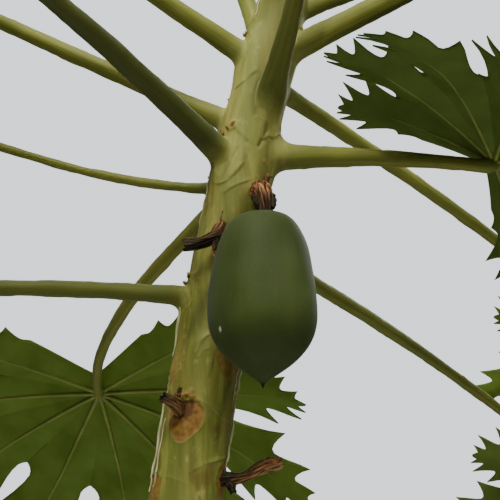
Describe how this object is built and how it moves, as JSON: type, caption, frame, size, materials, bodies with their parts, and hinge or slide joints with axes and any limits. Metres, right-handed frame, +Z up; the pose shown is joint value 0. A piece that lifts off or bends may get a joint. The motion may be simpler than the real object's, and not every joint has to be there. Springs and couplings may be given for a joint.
{
  "type": "young fruiting papaya plant",
  "caption": "Young fruiting papaya plant: a slender leaning trunk with leaf scars, a crown of long leaf stalks with deeply lobed blades, and a green fruit hanging under it.",
  "frame": {"origin": "middle of the flat cut under the trunk, at ground level", "axes": "+Z up; the trunk leans towards +X; -Y is the side that the picture is taken from"},
  "size_m": [1.2823, 1.0569, 2.06],
  "materials": {
    "bark": "smooth soft green bark, olive and slightly waxy, with tan leaf scars",
    "leaf_stalk": "smooth olive leaf stalks with a faint sheen",
    "leaf_blade": "dark green leaf blades with paler ribs, matte below and slightly glossy above",
    "fruit": "matte waxy dark green skin",
    "dry_stalk": "withered brown fibre, rough"
  },
  "bodies": {
    "root": {"trunk": "bark", "leaf_stalk_01": "leaf_stalk", "leaf_blade_01": "leaf_blade", "leaf_stalk_02": "leaf_stalk", "leaf_blade_02": "leaf_blade", "leaf_stalk_03": "leaf_stalk", "leaf_blade_03": "leaf_blade", "leaf_stalk_04": "leaf_stalk", "leaf_blade_04": "leaf_blade", "leaf_stalk_05": "leaf_stalk", "leaf_blade_05": "leaf_blade", "leaf_stalk_06": "leaf_stalk", "leaf_blade_06": "leaf_blade", "leaf_stalk_07": "leaf_stalk", "leaf_blade_07": "leaf_blade", "leaf_stalk_08": "leaf_stalk", "leaf_blade_08": "leaf_blade", "leaf_stalk_09": "leaf_stalk", "leaf_blade_09": "leaf_blade", "leaf_stalk_10": "leaf_stalk", "leaf_blade_10": "leaf_blade", "leaf_stalk_11": "leaf_stalk", "leaf_blade_11": "leaf_blade", "leaf_stalk_12": "leaf_stalk", "leaf_blade_12": "leaf_blade", "leaf_stalk_13": "leaf_stalk", "leaf_blade_13": "leaf_blade", "leaf_stalk_14": "leaf_stalk", "leaf_blade_14": "leaf_blade", "leaf_stalk_15": "leaf_stalk", "leaf_blade_15": "leaf_blade", "leaf_stalk_16": "leaf_stalk", "leaf_blade_16": "leaf_blade", "leaf_stalk_17": "leaf_stalk", "leaf_blade_17": "leaf_blade", "leaf_stalk_18": "leaf_stalk", "leaf_blade_18": "leaf_blade", "leaf_stalk_19": "leaf_stalk", "leaf_blade_19": "leaf_blade", "leaf_stalk_20": "leaf_stalk", "leaf_blade_20": "leaf_blade", "leaf_stalk_21": "leaf_stalk", "leaf_blade_21": "leaf_blade", "leaf_stalk_22": "leaf_stalk", "leaf_blade_22": "leaf_blade", "leaf_stalk_23": "leaf_stalk", "leaf_blade_23": "leaf_blade", "fruit": "fruit", "fruit_stalk": "dry_stalk", "dry_stalk_left": "dry_stalk", "dry_stalk_right": "dry_stalk", "dry_stalk_hooked": "dry_stalk"}
  },
  "joints": []
}
